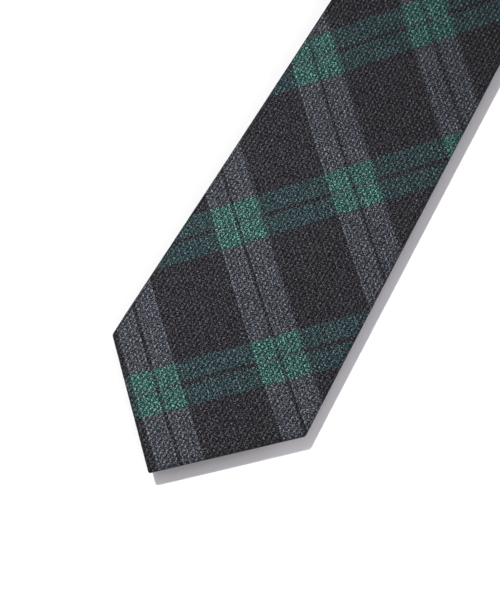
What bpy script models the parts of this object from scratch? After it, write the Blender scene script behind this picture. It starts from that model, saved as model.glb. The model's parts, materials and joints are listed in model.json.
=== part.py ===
"""A gentlemen's plaid necktie, folded in quarters as it lies on a shelf.

The tie is one long bias-cut tube of fabric around a wool interlining. Here it is folded three times into
four flat layers. From the top they are the front blade (face up), the upper blade, the neck (face up) and
the tail. The front blade points to -X, and both far folds are at +X. The object's frame has its origin
under the middle of the folded stack, at the height of the surface that it lies on.
"""

import math

import bmesh
import bpy

MM = 0.001

# Driving dimensions, in millimetres.
FRONT_WIDTH = 74.8  # across the front blade's shoulders
NECK_WIDTH = 33.0
TAIL_WIDTH = 41.0
TIP_OFF_CENTRE = 2.6  # the front point is cut a little off the blade's centre line
FRONT_SHOULDER_PLUS_Y = 34.7  # from the front point to each shoulder, along the tie
FRONT_SHOULDER_MINUS_Y = 38.1
TAIL_SHOULDER = 20.5
TAPER_LENGTH = 704.0  # from the front shoulders to the narrow neck
TAPER_POWER = 1.81
TAIL_FLARE_START = 900.0  # along the tie, where it begins to widen again
TAIL_FLARE_LENGTH = 510.0
TAIL_FLARE_POWER = 1.5

PLY = 0.45  # one thickness of the shell fabric
CLEARANCE = 0.3  # between pieces that touch on the real tie
INTERLINING = 0.75
LINING = 0.25  # tippings and labels
THICKNESS = 2 * PLY + INTERLINING + LINING + 3 * CLEARANCE  # of the made-up tie

BACK_GAP = 1.8  # between two layers that lie back to back, with the keeper and labels between
FACE_GAP = 0.6  # between two layers that lie face to face

FAR_FOLD = 386.0  # the folds' axes and the tail's point, along X from the front point
NECK_FOLD = 27.1
TAIL_POINT = 60.0

SLIT = 1.2  # the tube's open centre back, which the slip stitch closes
STITCH = SLIT - 2 * CLEARANCE
HEM = 7.0  # shell fabric turned over behind the points
FRONT_BAR_TACK = 112.0  # from the front point
TAIL_BAR_TACK = 55.0  # from the tail's point
FRONT_TIPPING_LENGTH = 135.0
TAIL_TIPPING_LENGTH = 72.0
FRONT_NECK_SEAM = 700.0  # along the tie
TAIL_NECK_SEAM = 960.0
SEAM_GAP = 2 * CLEARANCE + 0.4
SIDE_STEP = 32.0  # spacing of the points along a curved side

KEEPER_X = 174.0  # middle of the keeper, from the front point
KEEPER_WIDTH = 12.0
KEEPER_SPAN = 52.0
KEEPER_FOOT = 4.0
KEEPER_PLY = 0.4
KEEPER_OPENING = 0.95  # pressed flat, between the blade's back and the loop
BRAND_LABEL = (26.0, 46.0)
BRAND_LABEL_X = 212.0
CARE_LABEL = (22.0, 15.0)
CARE_LABEL_X = 190.0
FRONT_TACK = (1.6, 9.0)
TAIL_TACK = (1.4, 7.0)
TACK_HEIGHT = 0.5
STITCH_START = 4.0  # from a bar tack to the slip stitch's first end
KEEPER_TACK = (9.0, 0.8)
LABEL_TACK = (1.0, 3.0)
LABEL_TACK_HEIGHT = 0.3
PAST_END = 4.0  # how far a cutter runs beyond what it cuts
BEND_SEGMENTS = 10

BEND_BACK = math.pi * (BACK_GAP + THICKNESS) / 2  # length of tie that each fold takes up
BEND_FACE = math.pi * (FACE_GAP + THICKNESS) / 2

# Heights of the four layers' undersides.
TAIL_Z = 0.0
NECK_Z = TAIL_Z + THICKNESS + BACK_GAP
UPPER_Z = NECK_Z + THICKNESS + FACE_GAP
BLADE_Z = UPPER_Z + THICKNESS + BACK_GAP

OUTER_BEND = THICKNESS + BACK_GAP / 2
MIDDLE_X = (FAR_FOLD + OUTER_BEND) / 2  # the frame's origin, from the front point

# Distance along the tie at which each lower layer starts.
UPPER_START = FAR_FOLD + BEND_BACK
NECK_START = UPPER_START + FAR_FOLD - NECK_FOLD + BEND_FACE
TAIL_START = NECK_START + FAR_FOLD - NECK_FOLD + BEND_BACK


def clear_scene():
    for obj in list(bpy.data.objects):
        bpy.data.objects.remove(obj, do_unlink=True)


def half_width(along):
    """Half the tie's width at a distance along it from the front point."""
    from_shoulder = max(0.0, along - FRONT_SHOULDER_MINUS_Y)
    narrow = NECK_WIDTH / 2
    if from_shoulder < TAPER_LENGTH:
        share = (1 - from_shoulder / TAPER_LENGTH) ** TAPER_POWER
        return narrow + (FRONT_WIDTH / 2 - narrow) * share
    flare = min(1.0, max(0.0, along - TAIL_FLARE_START) / TAIL_FLARE_LENGTH)
    return narrow + (TAIL_WIDTH / 2 - narrow) * flare**TAIL_FLARE_POWER


class Layer:
    """One flat run of the folded tie."""

    def __init__(self, underside, face_up, along, pivot):
        self.underside = underside
        self.face_up = face_up
        self.along = along
        self.pivot = pivot

    def half(self, x):
        return half_width(self.along(x))

    def heights(self, first, last):
        """The Z range of what lies between two depths, measured from the tie's front face."""
        if self.face_up:
            top = self.underside + THICKNESS
            return top - last, top - first
        return self.underside + first, self.underside + last


def empty_axis(name, x, z, parent=None):
    """An empty on a fold's axis, which the pieces that turn about it hang from."""
    empty = bpy.data.objects.new(name, None)
    empty.empty_display_size = 0.02
    place = ((x - MIDDLE_X) * MM, 0.0, z * MM)
    bpy.context.scene.collection.objects.link(empty)
    if parent is None:
        empty.location = place
    else:
        empty.parent = parent
        empty.location = [place[i] - world_place(parent)[i] for i in range(3)]
    return empty


def world_place(obj):
    """Where an empty stands, summed down its chain of parents."""
    place = [0.0, 0.0, 0.0]
    while obj is not None:
        place = [place[i] + obj.location[i] for i in range(3)]
        obj = obj.parent
    return place


def principled(name, colour, roughness, sheen=0.0):
    made = bpy.data.materials.new(name)
    made.use_nodes = True
    shader = made.node_tree.nodes["Principled BSDF"]
    shader.inputs["Base Color"].default_value = (*colour, 1.0)
    shader.inputs["Roughness"].default_value = roughness
    shader.inputs["Metallic"].default_value = 0.0
    shader.inputs["Sheen Weight"].default_value = sheen
    return made


def extruded(name, layer, points, direction):
    """An object hung from the layer's axis: a flat outline, in millimetres, extruded along a direction."""
    origin = world_place(layer.pivot)
    shape = bmesh.new()
    corners = []
    for x, y, z in points:
        place = ((x - MIDDLE_X) * MM, y * MM, z * MM)
        corners.append(shape.verts.new([place[i] - origin[i] for i in range(3)]))
    made = bmesh.ops.extrude_face_region(shape, geom=[shape.faces.new(corners)])
    moved = [v for v in made["geom"] if isinstance(v, bmesh.types.BMVert)]
    bmesh.ops.translate(shape, verts=moved, vec=[step * MM for step in direction])
    bmesh.ops.recalc_face_normals(shape, faces=shape.faces)
    mesh = bpy.data.meshes.new(name)
    shape.to_mesh(mesh)
    shape.free()
    obj = bpy.data.objects.new(name, mesh)
    bpy.context.scene.collection.objects.link(obj)
    obj.parent = layer.pivot
    return obj


def plate(name, layer, outline, depths, material):
    """A flat piece with an outline in X and Y, between two depths below the tie's front face."""
    low, high = layer.heights(*depths)
    obj = extruded(name, layer, [(x, y, low) for x, y in outline], (0, 0, high - low))
    if material:
        obj.data.materials.append(material)
    return obj


def cutter(name, layer, outline, depths):
    """A hidden plate that only cuts."""
    obj = plate(name, layer, outline, depths, None)
    obj.hide_render = True
    obj.display_type = "WIRE"
    return obj


def cut(target, tool):
    boolean = target.modifiers.new(tool.name, "BOOLEAN")
    boolean.operation = "DIFFERENCE"
    boolean.solver = "EXACT"
    boolean.object = tool


def side_stations(start, end):
    """Evenly spaced distances from start to end, no more than SIDE_STEP apart."""
    count = max(1, math.ceil(abs(end - start) / SIDE_STEP))
    return [start + (end - start) * i / count for i in range(count + 1)]


def strip(layer, start, end, inset=0.0, start_slant=0.0, end_slant=0.0):
    """The outline of a stretch of tie from one X to another. A slant of 1 cuts its end at 45 degrees."""
    sides = []
    for sign in (1, -1):
        low = start + sign * start_slant * layer.half(start)
        high = end + sign * end_slant * layer.half(end)
        sides.append([(x, sign * (layer.half(x) - inset)) for x in side_stations(low, high)])
    return sides[0] + sides[1][::-1]


def front_point(layer, end, inset=0.0):
    """The front blade's outline from its point to an X, moved inward by inset along its sides."""
    corners = [
        (0.0, TIP_OFF_CENTRE),
        (FRONT_SHOULDER_PLUS_Y, FRONT_WIDTH / 2),
        (FRONT_SHOULDER_MINUS_Y, -FRONT_WIDTH / 2),
    ]
    return pointed(layer, corners, end, inset)


def tail_point(layer, end, inset=0.0):
    """The tail's outline, the same way."""
    shoulder = TAIL_POINT + TAIL_SHOULDER
    half = TAIL_WIDTH / 2
    corners = [(TAIL_POINT, 0.0), (shoulder, half), (shoulder, -half)]
    return pointed(layer, corners, end, inset)


def pointed(layer, corners, end, inset):
    """An outline with a point at -X: its tip and two shoulders, then the tie's sides."""
    tip, plus, minus = corners
    inner_tip = inset_corner(minus, tip, plus, inset)
    sides = []
    for shoulder, sign in ((plus, 1), (minus, -1)):
        beyond = (shoulder[0] + SIDE_STEP, sign * layer.half(shoulder[0] + SIDE_STEP))
        before, after = (tip, beyond) if sign > 0 else (beyond, tip)
        corner = inset_corner(before, shoulder, after, inset)
        stations = side_stations(corner[0], end)[1:]
        sides.append([corner] + [(x, sign * (layer.half(x) - inset)) for x in stations])
    return [inner_tip] + sides[0] + sides[1][::-1]


def inset_corner(before, corner, after, inset):
    """The corner of a clockwise outline moved inward by inset from both of its edges."""
    normals = []
    for a, b in ((before, corner), (corner, after)):
        dx, dy = b[0] - a[0], b[1] - a[1]
        length = math.hypot(dx, dy)
        normals.append((dy / length, -dx / length))
    (ax, ay), (bx, by) = normals
    scale = inset / (1 + ax * bx + ay * by)
    return corner[0] + (ax + bx) * scale, corner[1] + (ay + by) * scale


def box_outline(x, y, length, width):
    """A rectangle about a middle point."""
    corners = ((-1, -1), (-1, 1), (1, 1), (1, -1))
    return [(x + i * length / 2, y + j * width / 2) for i, j in corners]


def slanted_bar(x, half, thickness):
    """A thin bar across the tie at 45 degrees."""
    reach = thickness / math.sqrt(2)
    return [
        (x + half + reach, half),
        (x + half - reach, half),
        (x - half - reach, -half),
        (x - half + reach, -half),
    ]


def shell_tube(name, layer, outline, hollow, opening, material):
    """A folded shell: its outline, less the hollow between its plies and the opening in its back."""
    tube = plate(name, layer, outline, (0, THICKNESS), material)
    cut(tube, cutter(name + "_hollow", layer, hollow, (PLY, THICKNESS - PLY)))
    through_back = (THICKNESS - PLY - CLEARANCE / 2, THICKNESS + CLEARANCE)
    cut(tube, cutter(name + "_opening", layer, opening, through_back))


def plain_tube(name, layer, start, end, start_slant, end_slant, material):
    """A stretch of shell with no point, with its slit down the centre back."""
    outline = strip(layer, start, end, 0.0, start_slant, end_slant)
    hollow = strip(layer, start - PAST_END, end + PAST_END, PLY, start_slant, end_slant)
    middle = (start + end) / 2
    slit = box_outline(middle, 0.0, end - start + FRONT_WIDTH, SLIT)
    shell_tube(name, layer, outline, hollow, slit, material)


def pointed_tube(name, layer, shape, end, tack, material):
    """A stretch of shell with a point, whose back opens below the bar tack in a V down to the hem."""
    hem = shape(layer, tack, HEM)
    window = [(tack, -SLIT / 2), hem[-1], hem[0], hem[1], (tack, SLIT / 2)]
    slit = [(end + PAST_END, SLIT / 2), (end + PAST_END, -SLIT / 2)]
    hollow = shape(layer, end + PAST_END, PLY)
    shell_tube(name, layer, shape(layer, end), hollow, window + slit, material)


def fold_bend(name, layer, x, z, inner, toward, along, material):
    """The half ring that the tie makes as it turns round a fold, as wide as the tie is there."""
    outer = inner + THICKNESS
    half = half_width(along)
    angles = [math.pi * i / BEND_SEGMENTS - math.pi / 2 for i in range(BEND_SEGMENTS + 1)]
    profile = [(outer * math.cos(a), outer * math.sin(a)) for a in angles]
    profile += [(inner * math.cos(a), inner * math.sin(a)) for a in reversed(angles)]
    ring = [(x + toward * out, -half, z + up) for out, up in profile]
    obj = extruded(name, layer, ring, (0, 2 * half, 0))
    obj.data.materials.append(material)
    obj.data.shade_smooth()
    obj.data.set_sharp_from_angle(angle=math.radians(40))


def make_keeper(layer, material):
    """The flat loop across the blade's back: a band on two feet, open from end to end."""
    foot = THICKNESS + CLEARANCE
    band = THICKNESS + KEEPER_OPENING
    outline = box_outline(KEEPER_X, 0.0, KEEPER_WIDTH, KEEPER_SPAN)
    loop = plate("keeper_loop", layer, outline, (foot, band + KEEPER_PLY), material)
    passage = box_outline(KEEPER_X, 0.0, KEEPER_WIDTH + PAST_END, KEEPER_SPAN - 2 * KEEPER_FOOT)
    cut(loop, cutter("keeper_passage", layer, passage, (THICKNESS, band)))


def make_tacks(layer, material):
    """The small stitches that hold the keeper's feet and the label's corners."""
    length, width = KEEPER_TACK
    beside = KEEPER_SPAN / 2 + CLEARANCE + width / 2
    depths = (THICKNESS + CLEARANCE, THICKNESS + CLEARANCE + KEEPER_PLY)
    for number, side in enumerate((1, -1), start=1):
        foot = box_outline(KEEPER_X, side * beside, length, width)
        plate(f"keeper_tack_{number}", layer, foot, depths, material)
    below = THICKNESS + 2 * CLEARANCE + LINING
    length, width = BRAND_LABEL
    corners = [(i * (length / 2 - 1.5), j * (width / 2 - 2.0)) for i in (1, -1) for j in (1, -1)]
    for number, (i, j) in enumerate(corners, start=1):
        mark = box_outline(BRAND_LABEL_X + i, j, *LABEL_TACK)
        plate(f"brand_label_tack_{number}", layer, mark, (below, below + LABEL_TACK_HEIGHT), material)


def make_front_blade(layer, made):
    """The front blade's lower run: the point, its lining and what is sewn to its back."""
    end = FAR_FOLD - CLEARANCE
    inside = PLY + CLEARANCE
    pointed_tube("front_blade_shell_lower", layer, front_point, end, FRONT_BAR_TACK, made["shell"])
    core = (inside, inside + INTERLINING)
    plate("front_interlining_lower", layer, front_point(layer, end, inside), core, made["wool"])
    under = core[1] + CLEARANCE
    tipping = front_point(layer, FRONT_TIPPING_LENGTH, inside)
    plate("front_tipping", layer, tipping, (under, under + LINING), made["lining"])
    make_bar_tack("front_bar_tack", layer, FRONT_BAR_TACK, FRONT_TACK, made["thread"])
    make_slip_stitch("slip_stitch_blade", layer, FRONT_BAR_TACK + STITCH_START, end, made["thread"])
    make_keeper(layer, made["shell"])
    label_depth = (THICKNESS + CLEARANCE, THICKNESS + CLEARANCE + LINING)
    label = box_outline(BRAND_LABEL_X, 0.0, *BRAND_LABEL)
    plate("brand_label", layer, label, label_depth, made["satin"])
    make_tacks(layer, made["thread"])


def make_bar_tack(name, layer, x, size, material):
    """The bar of close stitches across the top of a V opening."""
    depths = (THICKNESS + CLEARANCE, THICKNESS + CLEARANCE + TACK_HEIGHT)
    plate(name, layer, box_outline(x - size[0], 0.0, *size), depths, material)


def make_slip_stitch(name, layer, start, end, material):
    bar = box_outline((start + end) / 2, 0.0, end - start, STITCH)
    plate(name, layer, bar, (THICKNESS - PLY, THICKNESS), material)


def make_seam(name, layer, x, material):
    """The thread of a 45 degree joining seam, between two shell pieces."""
    half = layer.half(x) - PLY
    plate(name, layer, slanted_bar(x, half, SEAM_GAP - 2 * CLEARANCE), (0.0, PLY), material)


def make_upper_blade(layer, made):
    """The second run: the blade narrows into the neck, past the first joining seam."""
    end = FAR_FOLD - CLEARANCE
    start = NECK_FOLD + CLEARANCE
    seam = FAR_FOLD - (FRONT_NECK_SEAM - UPPER_START)
    half_gap = SEAM_GAP / math.sqrt(2)
    plain_tube("front_blade_shell_upper", layer, seam + half_gap, end, 1, 0, made["shell"])
    plain_tube("neck_shell_front", layer, start, seam - half_gap, 0, 1, made["shell"])
    make_seam("front_neck_seam", layer, seam, made["thread"])
    make_core("front_interlining_upper", layer, start, end, made["wool"])
    make_slip_stitch("slip_stitch_upper", layer, start, end, made["thread"])


def make_neck(layer, made):
    """The third run: the neck, the second joining seam and the start of the tail."""
    end = FAR_FOLD - CLEARANCE
    start = NECK_FOLD + CLEARANCE
    seam = NECK_FOLD + (TAIL_NECK_SEAM - NECK_START)
    half_gap = SEAM_GAP / math.sqrt(2)
    plain_tube("neck_shell_rear", layer, start, seam - half_gap, 0, 1, made["shell"])
    plain_tube("tail_shell_upper", layer, seam + half_gap, end, 1, 0, made["shell"])
    make_seam("tail_neck_seam", layer, seam, made["thread"])
    make_core("tail_interlining_upper", layer, start, end, made["wool"])
    make_slip_stitch("slip_stitch_neck", layer, start, end, made["thread"])


def make_core(name, layer, start, end, material):
    inside = PLY + CLEARANCE
    plate(name, layer, strip(layer, start, end, inside), (inside, inside + INTERLINING), material)


def make_tail(layer, made):
    """The lowest run: the tail, with its own point, lining and bar tack."""
    end = FAR_FOLD - CLEARANCE
    inside = PLY + CLEARANCE
    tack_x = TAIL_POINT + TAIL_BAR_TACK
    pointed_tube("tail_shell_lower", layer, tail_point, end, tack_x, made["shell"])
    core = (inside, inside + INTERLINING)
    plate("tail_interlining_lower", layer, tail_point(layer, end, inside), core, made["wool"])
    under = core[1] + CLEARANCE
    tipping = tail_point(layer, TAIL_POINT + TAIL_TIPPING_LENGTH, inside)
    plate("tail_tipping", layer, tipping, (under, under + LINING), made["lining"])
    make_bar_tack("tail_bar_tack", layer, tack_x, TAIL_TACK, made["thread"])
    make_slip_stitch("slip_stitch_tail", layer, tack_x + STITCH_START, end, made["thread"])
    label_depth = (THICKNESS + CLEARANCE, THICKNESS + CLEARANCE + LINING)
    label = box_outline(CARE_LABEL_X, 0.0, *CARE_LABEL)
    plate("care_label", layer, label, label_depth, made["satin"])


def make_bends(upper, neck, tail, material):
    """The tie's turn round each of the three folds."""
    back, face = BACK_GAP / 2, FACE_GAP / 2
    blade_pivot = BLADE_Z - back
    neck_pivot = UPPER_Z - face
    tail_pivot = NECK_Z - back
    fold_bend("blade_fold_bend", upper, FAR_FOLD, blade_pivot, back, 1, FAR_FOLD, material)
    fold_bend("neck_fold_bend", neck, NECK_FOLD, neck_pivot, face, -1, NECK_START, material)
    fold_bend("tail_fold_bend", tail, FAR_FOLD, tail_pivot, back, 1, TAIL_START, material)


def main():
    clear_scene()
    made = {
        "shell": principled("plaid_shell", (0.035, 0.045, 0.05), 0.85, 0.3),
        "lining": principled("dark_lining", (0.012, 0.012, 0.015), 0.45),
        "wool": principled("wool_interlining", (0.55, 0.52, 0.45), 0.95),
        "satin": principled("label_satin", (0.02, 0.02, 0.022), 0.4),
        "thread": principled("sewing_thread", (0.02, 0.022, 0.025), 0.6),
    }
    neck_axis = empty_axis("neck_fold_axis", NECK_FOLD, UPPER_Z - FACE_GAP / 2)
    blade_axis = empty_axis("blade_fold_axis", FAR_FOLD, BLADE_Z - BACK_GAP / 2, neck_axis)
    tail_axis = empty_axis("tail_fold_axis", FAR_FOLD, NECK_Z - BACK_GAP / 2)
    blade = Layer(BLADE_Z, True, lambda x: x, blade_axis)
    upper = Layer(UPPER_Z, False, lambda x: UPPER_START + FAR_FOLD - x, neck_axis)
    neck = Layer(NECK_Z, True, lambda x: NECK_START + x - NECK_FOLD, None)
    tail = Layer(TAIL_Z, False, lambda x: TAIL_START + FAR_FOLD - x, tail_axis)
    make_front_blade(blade, made)
    make_upper_blade(upper, made)
    make_neck(neck, made)
    make_tail(tail, made)
    make_bends(upper, neck, tail, made["shell"])


main()
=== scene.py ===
"""The looks of the folded plaid necktie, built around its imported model.

Every soft piece is first made in the tie's own flat space, in millimetres. `along` runs down the tie from
its front point to its tail's point, `across` over its width, and `depth` from its front face to its back.
place() then lays that space out as the four folded layers.
"""

import json
import math

import bmesh
import bpy
import numpy as np
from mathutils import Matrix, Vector


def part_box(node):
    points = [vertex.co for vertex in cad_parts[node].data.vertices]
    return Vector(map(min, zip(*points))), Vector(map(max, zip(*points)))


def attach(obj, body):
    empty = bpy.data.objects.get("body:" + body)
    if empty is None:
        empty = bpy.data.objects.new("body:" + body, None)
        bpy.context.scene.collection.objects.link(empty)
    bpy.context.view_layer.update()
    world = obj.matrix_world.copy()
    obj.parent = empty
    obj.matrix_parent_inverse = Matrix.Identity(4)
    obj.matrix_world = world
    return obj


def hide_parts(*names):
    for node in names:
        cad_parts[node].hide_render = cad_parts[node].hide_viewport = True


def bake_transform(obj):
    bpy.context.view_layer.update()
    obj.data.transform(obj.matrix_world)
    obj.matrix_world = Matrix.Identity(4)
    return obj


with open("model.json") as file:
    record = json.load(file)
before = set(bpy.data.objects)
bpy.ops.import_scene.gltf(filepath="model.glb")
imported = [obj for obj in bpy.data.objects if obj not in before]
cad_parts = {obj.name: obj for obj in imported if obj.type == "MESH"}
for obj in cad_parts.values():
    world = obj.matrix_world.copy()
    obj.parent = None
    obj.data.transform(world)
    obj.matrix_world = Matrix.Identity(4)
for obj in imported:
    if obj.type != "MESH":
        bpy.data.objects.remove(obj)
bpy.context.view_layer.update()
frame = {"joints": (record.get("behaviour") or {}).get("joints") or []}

MM = 0.001


# ---- sizes, from the frame and in millimetres


def box_mm(node):
    low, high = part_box(node)
    return np.array(low) / MM, np.array(high) / MM


def joint_mm(name):
    found = [j for j in frame["joints"] if j["name"] == name][0]
    return np.array(found["pos_m"]) / MM


blade_low, blade_high = box_mm("front_blade_shell_lower")
upper_low, upper_high = box_mm("front_blade_shell_upper")
neck_low, neck_high = box_mm("neck_shell_rear")
tail_low, tail_high = box_mm("tail_shell_lower")

THICKNESS = blade_high[2] - blade_low[2]
BACK = THICKNESS  # the depth of the shell's back face
POINT_X = blade_low[0]
FAR_FOLD = joint_mm("blade_fold")[0] - POINT_X
NECK_FOLD = joint_mm("neck_fold")[0] - POINT_X
TAIL_POINT = tail_low[0] - POINT_X
BACK_GAP = blade_low[2] - upper_high[2]
FACE_GAP = upper_low[2] - neck_high[2]
BEND_BACK = math.pi * (BACK_GAP + THICKNESS) / 2
BEND_FACE = math.pi * (FACE_GAP + THICKNESS) / 2

# Half widths, and where the outline's corners are.
FRONT_HALF = blade_high[1]
NECK_HALF = box_mm("neck_fold_bend")[1][1]
TAIL_HALF = tail_high[1]
POINT_ACROSS = 2.6
SHOULDER_PLUS = 34.7
SHOULDER_MINUS = 38.1
TAIL_SHOULDER = 20.5
TAPER_LENGTH = 704.0
TAPER_POWER = 1.81
FLARE_START = 900.0
FLARE_LENGTH = 510.0
FLARE_POWER = 1.5

# Where each of the four layers starts and ends along the tie.
UPPER_START = FAR_FOLD + BEND_BACK
UPPER_END = UPPER_START + FAR_FOLD - NECK_FOLD
NECK_START = UPPER_END + BEND_FACE
NECK_END = NECK_START + FAR_FOLD - NECK_FOLD
TAIL_START = NECK_END + BEND_BACK
TIE_LENGTH = TAIL_START + FAR_FOLD - TAIL_POINT

FRONT_SEAM = 700.0
TAIL_SEAM = 960.0
FRONT_TACK = 112.0  # from the front point
TAIL_TACK = 55.0  # from the tail's point

PLY = 0.35  # thickness of the plaid cloth
STEP = 3.0  # from row to row down the tie
FOLD_STEP = 0.36  # the same round a fold


# ---- the tie's own space

LONG_WAVE = 0.16  # how high the two waves in the upper layers are
SHORT_WAVE = 0.07

# How the plaid lies on the tie. A lean is the millimetres over one set of threads for one across the tie, and
# for one along it. A curl bends the threads.
WARP_LEAN = (0.6709, 0.7417)
WEFT_LEAN = (-0.7238, 0.6899)
WARP_CURL = (0.00033, -0.00046, 0.00024)
WEFT_CURL = (-0.00085, 0.0008, 0.0)
BOW_MIDDLE = 70.0
BOW_REACH = 120.0


def half_width(along):
    """Half the tie's width at distances along it."""
    along = np.asarray(along, float)
    from_shoulder = np.clip(along - SHOULDER_MINUS, 0, None)
    share = np.clip(1 - from_shoulder / TAPER_LENGTH, 0, 1) ** TAPER_POWER
    flare = np.clip((along - FLARE_START) / FLARE_LENGTH, 0, 1) ** FLARE_POWER
    return NECK_HALF + (FRONT_HALF - NECK_HALF) * share + (TAIL_HALF - NECK_HALF) * flare


def smooth(x):
    x = np.clip(x, 0, 1)
    return x * x * (3 - 2 * x)


def drape(x, y, z):
    """How far the layers lift, in millimetres: a loose, gently wavy lie. The lowest layers stay flat."""
    height = smooth((z - upper_low[2]) / (blade_high[2] - upper_low[2]))
    long_wave = np.sin(x / 31.0 + 0.7) * np.cos(y / 27.0 - x / 55.0)
    short_wave = np.sin(y / 13.0 + x / 47.0 + 1.1)
    return height * (LONG_WAVE * long_wave + SHORT_WAVE * short_wave)


def place(along, across, depth):
    """From the tie's own space to the row frame, in metres, as an array of points."""
    s, y, q = (np.asarray(v, float) for v in np.broadcast_arrays(along, across, depth))
    x = np.empty(s.shape)
    z = np.empty(s.shape)
    blade_axis = blade_low[2] - BACK_GAP / 2
    neck_axis = upper_low[2] - FACE_GAP / 2
    tail_axis = neck_low[2] - BACK_GAP / 2

    def flat(where, at_x, at_z):
        x[where] = at_x[where]
        z[where] = at_z[where]

    def turn(where, start, length, axis_x, axis_z, radius, side):
        angle = (s - start) / length * math.pi
        x[where] = (axis_x + side * radius * np.sin(angle))[where]
        z[where] = (axis_z + radius * np.cos(angle))[where]

    flat(s <= FAR_FOLD, s, blade_high[2] - q)
    around = (s > FAR_FOLD) & (s < UPPER_START)
    turn(around, FAR_FOLD, BEND_BACK, FAR_FOLD, blade_axis, BACK_GAP / 2 + THICKNESS - q, 1)
    upper = (s >= UPPER_START) & (s <= UPPER_END)
    flat(upper, FAR_FOLD - (s - UPPER_START), upper_low[2] + q)
    around = (s > UPPER_END) & (s < NECK_START)
    turn(around, UPPER_END, BEND_FACE, NECK_FOLD, neck_axis, FACE_GAP / 2 + q, -1)
    neck = (s >= NECK_START) & (s <= NECK_END)
    flat(neck, NECK_FOLD + (s - NECK_START), neck_high[2] - q)
    around = (s > NECK_END) & (s < TAIL_START)
    turn(around, NECK_END, BEND_BACK, FAR_FOLD, tail_axis, BACK_GAP / 2 + THICKNESS - q, 1)
    flat(s >= TAIL_START, FAR_FOLD - (s - TAIL_START), tail_low[2] + q)
    z += drape(x, y, z)
    return np.stack([x + POINT_X, y, z], -1) * MM


def threads_at(t, along, bow, lean, curl):
    straight = lean[0] * t + lean[1] * along
    return straight + curl[0] * t * bow + curl[1] * t * t + curl[2] * bow * bow


def thread_counts(along, across):
    """Where the cloth lies on its own threads: millimetres across the warp and across the weft.

    The tie is cut on the bias, so both run at about 45 degrees to it, and the cloth is a little bowed.
    """
    t = POINT_ACROSS - np.asarray(across, float)
    bow = BOW_REACH * np.tanh((np.asarray(along, float) - BOW_MIDDLE) / BOW_REACH)
    return threads_at(t, along, bow, WARP_LEAN, WARP_CURL), threads_at(t, along, bow, WEFT_LEAN, WEFT_CURL)


# ---- mesh helpers

SAME_PLACE = 1e-7  # points closer than this, in metres, are one


def mesh_object(name, points, faces, material, cloth):
    """An object from points in metres. cloth is each point's place on its threads, in millimetres.

    A third number there is how far the cloth turns over an edge, from 0 to 1; the plaid paints shade by it.
    """
    mesh = bpy.data.meshes.new(name)
    mesh.from_pydata([tuple(p) for p in points], [], faces)
    own_place = np.zeros((len(points), 3), np.float32)
    own_place[:, : cloth.shape[1]] = cloth
    attribute = mesh.attributes.new("cloth", "FLOAT_VECTOR", "POINT")
    attribute.data.foreach_set("vector", own_place.ravel())
    shape = bmesh.new()
    shape.from_mesh(mesh)
    bmesh.ops.remove_doubles(shape, verts=shape.verts, dist=SAME_PLACE)
    bmesh.ops.dissolve_degenerate(shape, edges=shape.edges, dist=SAME_PLACE)
    bmesh.ops.recalc_face_normals(shape, faces=shape.faces)
    shape.to_mesh(mesh)
    shape.free()
    mesh.shade_smooth()
    mesh.materials.append(material)
    obj = bpy.data.objects.new(name, mesh)
    bpy.context.scene.collection.objects.link(obj)
    return obj


def grid_faces(rows, columns, closed=False):
    """Quads over a grid of points. closed joins the last column to the first."""
    faces = []
    last = columns if closed else columns - 1
    for i in range(rows - 1):
        for j in range(last):
            a, b = i * columns + j, i * columns + (j + 1) % columns
            faces.append((a, b, b + columns, a + columns))
    return faces


def thicken(obj, thickness):
    solid = obj.modifiers.new("ply", "SOLIDIFY")
    solid.thickness = thickness * MM
    solid.offset = 0.0
    return obj


def spaced(start, end, step):
    count = max(1, round(abs(end - start) / step))
    return np.linspace(start, end, count + 1)


def stations(start, end):
    """Distances along the tie from start to end, close together where it turns round a fold."""
    folds = [(FAR_FOLD, UPPER_START), (UPPER_END, NECK_START), (NECK_END, TAIL_START)]
    marks, here = [np.array([start])], start
    for low, high in folds:
        if low <= here or low >= end:
            continue
        marks.append(spaced(here, low, STEP)[1:])
        marks.append(spaced(low, min(high, end), FOLD_STEP)[1:])
        here = min(high, end)
    marks.append(spaced(here, end, STEP)[1:])
    return np.concatenate(marks)


# ---- a stretch of the tie, seen flat

CORNER_ROUND = 2.5  # radius of the outline's corners
LEAST_ROUND = 0.15
SHOULDER_FADE = 24.0  # how far past a shoulder the rows even out
PAST_SHOULDER = 30.0  # a place clearly on the side below a shoulder
SEAM_DIP = 0.9  # how near a seam the cloth dips into it
TIP_ROWS = np.concatenate([[0.02, 0.05], np.linspace(0.1, 1, 24)])
NOSE_ROWS = (0.5, 0.7, 0.85, 1.0)
BEND_ROWS = (0.25, 0.5, 0.75, 1.0)


def unit(v):
    return v / np.linalg.norm(v)


def bezier(a, b, c, t):
    return (1 - t) ** 2 * a + 2 * t * (1 - t) * b + t * t * c


def inset_corner(before, corner, after, inset):
    """The corner of an outline that runs clockwise, moved inward by inset from both of its edges."""
    normals = []
    for a, b in ((before, corner), (corner, after)):
        run, rise = unit(np.subtract(b, a))
        normals.append(np.array((rise, -run)))
    return corner + (normals[0] + normals[1]) * inset / (1 + normals[0] @ normals[1])


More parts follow.
